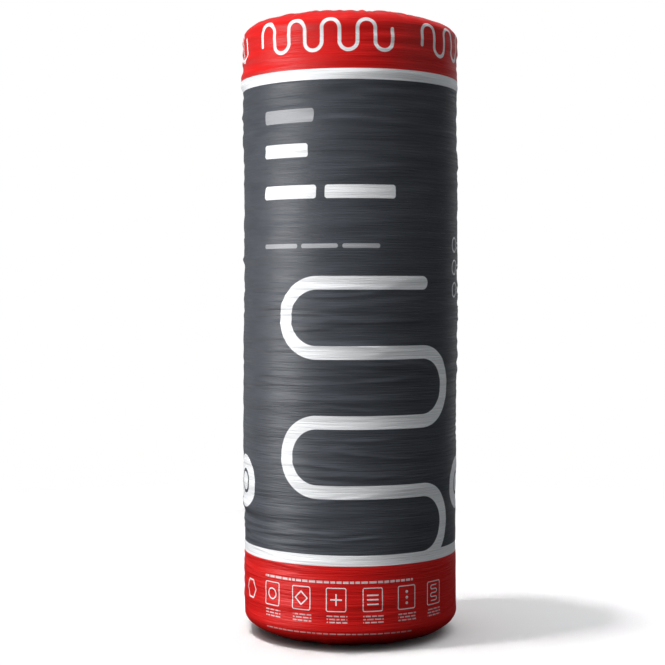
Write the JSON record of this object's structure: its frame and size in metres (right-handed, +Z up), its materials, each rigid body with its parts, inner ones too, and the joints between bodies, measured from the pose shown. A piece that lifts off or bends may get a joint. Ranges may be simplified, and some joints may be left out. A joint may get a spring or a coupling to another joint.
{
  "type": "insulation roll",
  "caption": "Roll of compressed glass wool loft insulation standing on its end in a tight printed polyethylene film, with the spiral of the turns open at both ends.",
  "frame": {"origin": "centre of the flat base, on the floor plane", "axes": "+Z up along the roll's axis; -Y towards the side that the picture shows; the film's side seam is at the back, at +Y"},
  "size_m": [0.4016, 0.402, 1.1426],
  "materials": {
    "glass_wool": "rolled resin-bonded glass wool, fibrous",
    "printed_film": "printed polyethylene film, satin, with drawn creases"
  },
  "bodies": {
    "root": {"wool_roll": "glass_wool", "wrap_film": "printed_film"}
  },
  "joints": []
}
